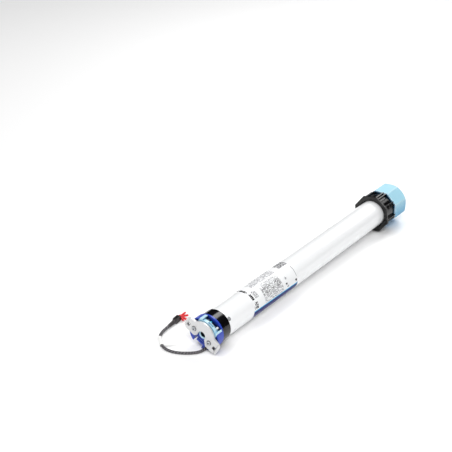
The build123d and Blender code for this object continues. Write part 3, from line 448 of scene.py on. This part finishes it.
red_vinyl = surface_finish(
    "soft_red_pvc", "#dc1822", 0.3, grain=0.6, grain_depth=0.1, painted_shade=("#7c060c", 3.5, 0.25)
)
guard_foot = cord_points[-1] + connector_heading * connector_end * mm
guard_middle = guard_foot + connector_heading * collar_length / 2 * mm
guard_mesh = bmesh.new()
bmesh.ops.create_cone(
    guard_mesh, cap_ends=True, segments=24, radius1=collar_foot_radius * mm,
    radius2=collar_top_radius * mm, depth=collar_length * mm,
    matrix=Matrix.Translation(guard_middle)
    @ connector_heading.to_track_quat("Z", "Y").to_matrix().to_4x4(),
)
for bearing, rise, reach in prongs:
    level = cos(radians(rise))
    heading = Vector((cos(radians(bearing)) * level, sin(radians(bearing)) * level, sin(radians(rise))))
    bmesh.ops.create_cone(
        guard_mesh, cap_ends=True, segments=16, radius1=prong_foot_radius * mm,
        radius2=prong_tip_radius * mm, depth=(reach - prong_shortening) * mm,
        matrix=Matrix.Translation(guard_middle + heading * reach * mm / 2)
        @ heading.to_track_quat("Z", "Y").to_matrix().to_4x4(),
    )
sharp_edges = [e for e in guard_mesh.edges if len(e.link_faces) == 2 and e.calc_face_angle() > sharp_angle]
bmesh.ops.bevel(
    guard_mesh, geom=sharp_edges, affect="EDGES", offset=guard_rounding * mm, segments=3,
    profile=0.5, material=-1,
)
for face in guard_mesh.faces:
    face.smooth = True
guard = object_from("contact_guard", guard_mesh, red_vinyl)
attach(guard, "motor")
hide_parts("connector_guard")

# The flag tag: coated white paper, smooth and faintly glossy, wrapped once round the cable
# and glued to itself, left plain. Its loose end curls a little and comes down on the table.
tag_length = 22.0
tag_reach = 21.0
tag_fall = 6.5
tag_curl = 0.8
collar_radius = 2.85
collar_mouth = 12.0
flap_half_gap = 0.12
paper_thickness = 0.09
wrap_steps = 20
flap_steps = 10

tag_from = cord_points[7]
tag_to = cord_points[8]
tag_middle = (tag_from + tag_to) / 2
tag_along = (tag_to - tag_from).normalized()
tag_out = tag_along.cross(Vector((0, 0, 1))).normalized()
tag_down = Vector((0, 0, -1))

wrap = []
for step in range(wrap_steps + 1):
    angle = radians(collar_mouth) + (2 * pi - radians(2 * collar_mouth)) * step / wrap_steps
    wrap.append((collar_radius * cos(angle), -collar_radius * sin(angle)))
flap = []
for step in range(1, flap_steps + 1):
    share = step / flap_steps
    out = collar_radius + (tag_reach - collar_radius) * share
    flap.append((out, tag_reach * sin(radians(tag_fall)) * share ** tag_curl))
upper = [(out, fall - flap_half_gap) for out, fall in reversed(flap)]
lower = [(out, fall + flap_half_gap) for out, fall in flap]
strip = upper + wrap + lower

tag_mesh = bmesh.new()
rows = []
for end in (-0.5, 0.5):
    rows.append([
        tag_mesh.verts.new(
            tag_middle + tag_along * end * tag_length * mm + tag_out * out * mm + tag_down * fall * mm
        )
        for out, fall in strip
    ])
for k in range(len(strip) - 1):
    tag_mesh.faces.new((rows[0][k], rows[0][k + 1], rows[1][k + 1], rows[1][k]))
bmesh.ops.recalc_face_normals(tag_mesh, faces=tag_mesh.faces)
bmesh.ops.solidify(tag_mesh, geom=tag_mesh.faces[:], thickness=paper_thickness * mm)
for face in tag_mesh.faces:
    face.smooth = False
coated_paper = surface_finish(
    "coated_white_paper", "#f7f7f5", 0.5, grain=0.3, grain_depth=0.05, mottle=0.015
)
tag = object_from("flag_tag", tag_mesh, coated_paper)
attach(tag, "motor")
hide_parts("cord_tag")


# The blue head housing: glass-filled nylon, moulded in one piece with its lobes and keyways.
# Its fine matt grain gives a soft sheen. Its edges are painted paler as highlights, and painted
# shade makes its keyways nearly black.
def dress(material, *names):
    """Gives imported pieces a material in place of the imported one."""
    for name in names:
        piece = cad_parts[name]
        piece.data.materials.clear()
        piece.data.materials.append(material)


blue_nylon = surface_finish(
    "glass_filled_blue_nylon", "#2142b6", 0.3, grain=0.5, grain_depth=0.12, mottle=0.08,
    edge_highlight="#5f7ce0", painted_shade=("#050a36", 9.0, 0.25),
)
dress(blue_nylon, "head_housing")

# The light insert: unfilled nylon, smoother and lighter than the housing that it is pressed
# in. Its edges are painted paler as highlights and its hollows take a painted shade. The wall
# and floor of its centre bore are painted dark, as shade.
bore_radius = 5.0 * mm
bore_mouth = 1.2 * mm
shade_margin = 0.15 * mm
insert_back = 40.0 * mm


def paint_patch(material, under, colour, *zones):
    """Paints a colour over what is under it, where the source of every zone lies in its limits."""
    mask = 1.0
    for source, low, high in zones:
        for limit, side in ((low, "GREATER_THAN"), (high, "LESS_THAN")):
            inside = add_node(
                material, "ShaderNodeMath", {0: source, 1: limit}, operation=side
            ).outputs[0]
            mask = add_node(
                material, "ShaderNodeMath", {0: inside, 1: mask}, operation="MULTIPLY"
            ).outputs[0]
    return add_node(
        material, "ShaderNodeMix", {"Factor": mask, 6: under, 7: srgb(colour)}, data_type="RGBA"
    ).outputs[2]


def shaded_bore(material, under):
    """Painted shade on the wall and floor of the centre bore, behind its mouth."""
    place = add_node(material, "ShaderNodeTexCoord").outputs["Object"]
    along = add_node(material, "ShaderNodeSeparateXYZ", {0: place}).outputs["X"]
    flat = add_node(
        material, "ShaderNodeVectorMath", {0: place, 1: (0, 1, 1)}, operation="MULTIPLY"
    ).outputs[0]
    radius = add_node(material, "ShaderNodeVectorMath", {0: flat}, operation="LENGTH").outputs["Value"]
    return paint_patch(
        material, under, "#0d1320",
        (along, bore_mouth, insert_back),
        (radius, -bore_radius, bore_radius + shade_margin),
    )


light_nylon = surface_finish(
    "light_blue_nylon", "#bfe4f3", 0.3, grain=0.6, grain_depth=0.08, mottle=0.03,
    edge_highlight="#eefaff", painted_shade=("#6ab8d8", 4.0, 0.25), paint=shaded_bore,
)
dress(light_nylon, "head_insert")

# The setting buttons, the release tab and the status lens stand in the insert's pocket. The
# buttons and the tab are moulded ABS with a satin face; the lens is smoked polycarbonate,
# polished, so it shows a sharper glint.
cyan_button = surface_finish("cyan_button_abs", "#45b9d6", 0.35)
black_button = surface_finish("black_button_abs", "#09080a", 0.35, specular=0.3)
white_tab = surface_finish("white_tab_abs", "#f0f2f4", 0.32)
smoked_lens = surface_finish(
    "smoked_lens_polycarbonate", "#5d6a74", 0.12, grain_depth=0.02, coat=0.5, ior=1.58
)
dress(cyan_button, "plus_button")
dress(black_button, "minus_button")
dress(white_tab, "release_tab")
dress(smoked_lens, "status_lens")

# The head plate: die-cast zinc, bead-blasted and clear-coated to an even pale grey. Painted
# shade darkens rings round its screws, the edges round its ear holes and its hollows, and its
# corners are painted paler as highlights. Its two screws are zinc-plated steel, with painted
# shade in their recesses.
head_turn = radians(29.5)
screw_across = 14.6 * mm
sunk_ring_inner = 3.2 * mm
sunk_ring_outer = 3.9 * mm
ear_hole_across = 24.8 * mm
ear_hole_down = -1.0 * mm
ear_edge_half_width = 2.3 * mm
ear_edge_half_height = 3.0 * mm


def turned_axes(material, angle):
    """The place along the motor, and across and up in a frame turned about its axis."""
    place = add_node(material, "ShaderNodeTexCoord").outputs["Object"]
    headings = ((1, 0, 0), (0, cos(angle), sin(angle)), (0, -sin(angle), cos(angle)))
    return [
        add_node(
            material, "ShaderNodeVectorMath", {0: place, 1: heading}, operation="DOT_PRODUCT"
        ).outputs["Value"]
        for heading in headings
    ]


def sunk_edge_shade(material, under):
    """Painted shade in sunk rings round the plate's two screws and on the edges round its ear holes."""
    _, across, up = turned_axes(material, head_turn)
    outward = add_node(material, "ShaderNodeMath", {0: across}, operation="ABSOLUTE").outputs[0]
    spot = add_node(material, "ShaderNodeCombineXYZ", {0: outward, 1: up}).outputs[0]
    from_screw = add_node(
        material, "ShaderNodeVectorMath", {0: spot, 1: (screw_across, 0, 0)}, operation="DISTANCE"
    ).outputs["Value"]
    shade_ringed = paint_patch(
        material, under, "#77767a", (from_screw, sunk_ring_inner, sunk_ring_outer)
    )
    return paint_patch(
        material, shade_ringed, "#48474a",
        (outward, ear_hole_across - ear_edge_half_width, ear_hole_across + ear_edge_half_width),
        (up, ear_hole_down - ear_edge_half_height, ear_hole_down + ear_edge_half_height),
    )


die_cast_zinc = surface_finish(
    "blasted_die_cast_zinc", "#d9d9da", 0.4, grain=0.35, grain_depth=0.2, mottle=0.04, metallic=0.3,
    edge_highlight="#f2f2f2", painted_shade=("#4c4b4d", 3.0, 0.25), paint=sunk_edge_shade,
)
screw_zinc = surface_finish(
    "zinc_plated_screw", "#b4b7bb", 0.22, grain=0.4, grain_depth=0.05, metallic=0.9,
    painted_shade=("#3a3b3e", 2.5, 0.25),
)
dress(die_cast_zinc, "head_plate")
dress(screw_zinc, "head_screws")

# The strip in the insert's window and the screws at the motor's far end: steel, rolled or
# cold-headed, with a bright zinc plating that stays even and slightly cloudy.
zinc_plate = surface_finish(
    "zinc_plated_steel", "#cfd1d4", 0.28, grain=0.4, grain_depth=0.05, metallic=0.6
)
dress(zinc_plate, "gear_end_screws", "window_strip", "wheel_screw")

# The four rivets through the tube into the head: zinc-plated steel with low, flat heads. On
# each head, painted shade marks a groove turned in it as a dark ring, and the dimple where the
# punch stood as a dark spot.
rivet_x = 37.1 * mm
rivet_angle = radians(53)
groove_inner = 1.2 * mm
groove_outer = 2.2 * mm
dimple_radius = 0.45 * mm


def from_rivet_line(material):
    """The distance from the nearest of the four rivets' axes."""
    along, across, up = turned_axes(material, rivet_angle)
    from_across = add_node(material, "ShaderNodeMath", {0: across}, operation="ABSOLUTE").outputs[0]
    from_up = add_node(material, "ShaderNodeMath", {0: up}, operation="ABSOLUTE").outputs[0]
    nearest = add_node(
        material, "ShaderNodeMath", {0: from_across, 1: from_up}, operation="MINIMUM"
    ).outputs[0]
    spot = add_node(material, "ShaderNodeCombineXYZ", {0: along, 1: nearest}).outputs[0]
    return add_node(
        material, "ShaderNodeVectorMath", {0: spot, 1: (rivet_x, 0, 0)}, operation="DISTANCE"
    ).outputs["Value"]


def rivet_ring_shade(material, under):
    """Painted shade: a dark ring for the groove and a dark spot for the dimple on each rivet."""
    reach = from_rivet_line(material)
    groove_shaded = paint_patch(material, under, "#3b3c40", (reach, groove_inner, groove_outer))
    return paint_patch(material, groove_shaded, "#4a4b4f", (reach, -dimple_radius, dimple_radius))


rivet_steel = surface_finish(
    "zinc_plated_rivet", "#c6c8cb", 0.3, grain=0.4, grain_depth=0.05, metallic=0.3, paint=rivet_ring_shade
)
dress(rivet_steel, "tube_rivets")

# The running ring and the cable plug: black nylon from a polished mould. It is glossy and
# deep, with a slight waviness in what it reflects.
glossy_black = surface_finish(
    "polished_black_nylon", "#09080a", 0.15, grain=1.2, grain_depth=0.03, mottle=0.05, specular=0.45
)
dress(glossy_black, "crown_ring", "cable_plug")

# The mark on the running ring: a raised triangle, low on its camera side, moulded with the
# ring and as glossy.
mark_along = 23.0 * mm
mark_turn = radians(71)
mark_radius = 23.5 * mm
mark_foot_radius = 3.6 * mm
mark_top_radius = 3.2 * mm
mark_height = 0.7 * mm

mark_mesh = bmesh.new()
bmesh.ops.create_cone(
    mark_mesh, cap_ends=True, segments=3, radius1=mark_foot_radius, radius2=mark_top_radius,
    depth=mark_height,
    matrix=Matrix.Translation((mark_along, -mark_radius * sin(mark_turn), mark_radius * cos(mark_turn)))
    @ Matrix.Rotation(mark_turn, 4, "X"),
)
mark = object_from("ring_mark", mark_mesh, glossy_black)
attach(mark, "crown_ring")

# The motor tube: steel, with a white powder coat baked on. It is glossy, with a slight orange
# peel, and a ring of painted shade round each rivet stands for a ring pressed into its wall.
pressed_inner = 2.3 * mm
pressed_outer = 3.1 * mm


def pressed_ring_shade(material, under):
    """A ring of painted shade round each rivet, for the ring pressed into the tube's wall."""
    reach = from_rivet_line(material)
    return paint_patch(material, under, "#6f7074", (reach, pressed_inner, pressed_outer))


white_powder = surface_finish(
    "white_powder_coat", "#f8f9fa", 0.17, grain=1.6, grain_depth=0.012, mottle=0.01, coat=0.3,
    paint=pressed_ring_shade,
)
dress(white_powder, "motor_tube")

# The rating label: white printed polyester film, glued part of the way round the tube, with a
# dark blue band along its lower edge and a thin light blue line above it. The print is left
# as plain grey dashes, with no words in it. The film is smooth and hardly shines.
label_skew = radians(-0.05) / mm
blue_line_from = radians(86.5)
dark_band_from = radians(91)

# Each block of print: its colour, its limits along the tube (mm) and about it (degrees), its
# cell of length (mm), angle (degrees) and gap (share), and the share of cells that are inked
print_blocks = (
    ("#141316", (95.6, 100.2), (-37, 6), (1.3, 2.6, 0.0), 0.78),
    ("#8f8e92", (96.3, 99.3), (6, 20), (1.1, 1.6, 0.2), 0.5),
    ("#0b0a0c", (96.2, 101.2), (20, 46), (5.2, 6.4, 0.14), 1.0),
    ("#77767a", (104.0, 112.0), (14, 44), (1.6, 2.6, 0.3), 0.66),
    ("#353338", (95.0, 104.5), (56, 82), (1.5, 3.4, 0.0), 0.6),
    ("#96959a", (114.0, 173.0), (-38, 0), (2.4, 3.0, 0.4), 0.68),
    ("#47454a", (122.0, 169.0), (22, 54), (1.5, 2.9, 0.34), 0.6),
    ("#85838a", (122.0, 170.0), (55, 85), (1.8, 3.2, 0.42), 0.6),
    ("#8a898d", (128.0, 168.0), (8, 21), (1.8, 2.6, 0.42), 0.55),
    ("#5c5b5f", (186.0, 207.5), (-36, -2), (1.3, 2.6, 0.2), 0.82),
    ("#6d6c70", (205.5, 206.4), (14, 60), (3.0, 5.0, 0.0), 1.0),
    ("#77767b", (178.3, 183.0), (38, 48), (1.3, 2.2, 0.1), 0.75),
    ("#3b393e", (177.0, 181.0), (61, 69), (1.3, 2.2, 0.0), 0.85),
    ("#6f6d73", (180.0, 184.0), (72, 80), (1.3, 2.2, 0.1), 0.7),
    ("#2c2a2f", (201.6, 206.0), (69, 80), (1.4, 2.4, 0.0), 0.85),
)

label_film = new_material("printed_polyester_film")
label_place = add_node(label_film, "ShaderNodeTexCoord").outputs["Object"]
label_axes = add_node(label_film, "ShaderNodeSeparateXYZ", {0: label_place})
label_along = label_axes.outputs["X"]
label_side = add_node(
    label_film, "ShaderNodeMath", {0: label_axes.outputs["Y"], 1: -1.0}, operation="MULTIPLY"
)
label_angle = add_node(
    label_film, "ShaderNodeMath", {0: label_side.outputs[0], 1: label_axes.outputs["Z"]},
    operation="ARCTAN2",
)
label_drift = add_node(
    label_film, "ShaderNodeMath", {0: label_along, 1: label_skew}, operation="MULTIPLY"
)
label_turn = add_node(
    label_film, "ShaderNodeMath", {0: label_angle.outputs[0], 1: label_drift.outputs[0]},
    operation="ADD",
).outputs[0]
label_spot = add_node(label_film, "ShaderNodeCombineXYZ", {0: label_along, 1: label_turn}).outputs[0]

label_colour = srgb("#f4f5f6")
for block_colour, block_along, block_turn, (cell_length, cell_angle, cell_gap), inked in print_blocks:
    cells = add_node(
        label_film, "ShaderNodeVectorMath",
        {0: label_spot, 1: (1 / (cell_length * mm), 1 / radians(cell_angle), 1.0)},
        operation="MULTIPLY",
    ).outputs[0]
    cell_corner = add_node(label_film, "ShaderNodeVectorMath", {0: cells}, operation="FLOOR").outputs[0]
    chance = add_node(
        label_film, "ShaderNodeTexWhiteNoise", {"Vector": cell_corner}, noise_dimensions="2D"
    ).outputs["Value"]
    in_cell = add_node(label_film, "ShaderNodeVectorMath", {0: cells}, operation="FRACTION").outputs[0]
    row_height = add_node(label_film, "ShaderNodeSeparateXYZ", {0: in_cell}).outputs["Y"]
    label_colour = paint_patch(
        label_film, label_colour, block_colour,
        (chance, 1 - inked, 2.0),
        (row_height, cell_gap, 1.0),
        (label_along, block_along[0] * mm, block_along[1] * mm),
        (label_turn, radians(block_turn[0]), radians(block_turn[1])),
    )
label_colour = paint_patch(label_film, label_colour, "#36a9da", (label_turn, blue_line_from, pi))
label_colour = paint_patch(label_film, label_colour, "#17156a", (label_turn, dark_band_from, pi))
label_surface = add_node(label_film, "ShaderNodeBsdfPrincipled", {
    "Base Color": label_colour, "Roughness": 0.28, "Specular IOR Level": 0.07,
})
add_node(label_film, "ShaderNodeOutputMaterial", {"Surface": label_surface.outputs[0]})
dress(label_film, "rating_label")

# The adapter ring: glass-filled black nylon, an octagonal flange and a ribbed drum moulded in
# one piece, loose on the tube. It is satin, with a faint grain, and the edges of its ribs are
# painted greyer as highlights.
satin_black = surface_finish(
    "satin_black_nylon", "#080708", 0.18, grain=0.7, grain_depth=0.08, mottle=0.08, specular=0.45,
    edge=0.5, edge_highlight="#3c393b",
)
dress(satin_black, "adapter_ring")

# The drive wheel: an octagon of light blue acetal, moulded and screwed to the output shaft.
# It is satin. Its corners are painted pale as highlights, and the faces that turn to the table
# are painted a deeper blue as shade.
wheel_acetal = surface_finish(
    "light_blue_acetal", "#a7d8ea", 0.38, grain=0.8, grain_depth=0.06, mottle=0.06, specular=0.3,
    edge=2.2, edge_highlight="#f0fbff", painted_shade=("#3a97c8", 70.0, 0.7),
)
dress(wheel_acetal, "drive_wheel")

# Behind the head, in the tube: the circuit board of green glass epoxy on a black moulded
# carrier, with its parts in black cases, a pale run capacitor and leads in brown vinyl. All
# of it is satin and plain, and shows only in a cut.
board_laminate = surface_finish("glass_epoxy_laminate", "#175a30", 0.35)
black_component = surface_finish("moulded_component_body", "#1d1d20", 0.45)
capacitor_can = surface_finish("polypropylene_can", "#dcdcd4", 0.35)
lead_sleeve = surface_finish("pvc_lead_sleeve", "#6b4a22", 0.4)
dress(board_laminate, "circuit_board")
dress(black_component, "board_parts", "board_carrier")
dress(capacitor_can, "run_capacitor")
dress(lead_sleeve, "inner_leads")

# The brake: a cast case with a magnet body, and a turned steel plate and disc spring that
# press a disc with a dull friction lining on a ring of the same lining.
cast_alloy = surface_finish("die_cast_alloy", "#8e8f92", 0.45, grain=0.5, grain_depth=0.3, metallic=0.9)
turned_steel = surface_finish("turned_steel", "#a8a8aa", 0.3, grain=0.3, grain_depth=0.1, metallic=1.0)
friction_lining = surface_finish("friction_lining", "#4b443d", 0.8, grain=0.4, grain_depth=0.5)
dress(cast_alloy, "brake_case")
dress(turned_steel, "brake_plate", "brake_spring")
dress(friction_lining, "brake_disc", "brake_friction_ring")

# The motor: stator and rotor of stacked electrical steel, dull grey, between two cast end
# shields, with windings of brown enamelled copper and a turned shaft in bronze bushes.
core_sheet = surface_finish(
    "stacked_electrical_steel", "#4f4f52", 0.5, grain=0.5, grain_depth=0.3, metallic=0.8
)
copper_wire = surface_finish(
    "enamelled_copper_wire", "#9a4a1c", 0.3, grain=0.6, grain_depth=0.5, metallic=0.7
)
sintered_bronze = surface_finish(
    "sintered_bronze", "#8f6a35", 0.45, grain=0.25, grain_depth=0.3, metallic=1.0
)
dress(cast_alloy, "front_end_shield", "rear_end_shield")
dress(core_sheet, "stator_core", "rotor_core")
dress(copper_wire, "stator_windings")
dress(turned_steel, "rotor_shaft")
dress(sintered_bronze, "shaft_bushes")

# The gearbox: a cast case and its covers behind a black rubber damper, with three planetary
# stages. The first stage's planets are of pale natural acetal, which runs quietly; the other
# gears, the carriers and the output shaft are cut from steel and keep its bright finish.
damper_rubber = surface_finish("nitrile_rubber", "#151515", 0.6)
gear_acetal = surface_finish("natural_acetal", "#e6e0cf", 0.4)
dress(damper_rubber, "rubber_damper")
dress(cast_alloy, "gearbox_cover", "gear_case", "gear_end_cap")
dress(sintered_bronze, "output_bearing")
dress(turned_steel, "output_shaft")
for stage in (1, 2, 3):
    dress(turned_steel, f"sun_gear_{stage}", f"carrier_{stage}")
    for planet in (1, 2, 3):
        dress(gear_acetal if stage == 1 else turned_steel, f"planet_{stage}_{planet}")

# The picture keeps the lights' own tones.
bpy.context.scene.view_settings.view_transform = "Standard"
bpy.context.view_layer.update()
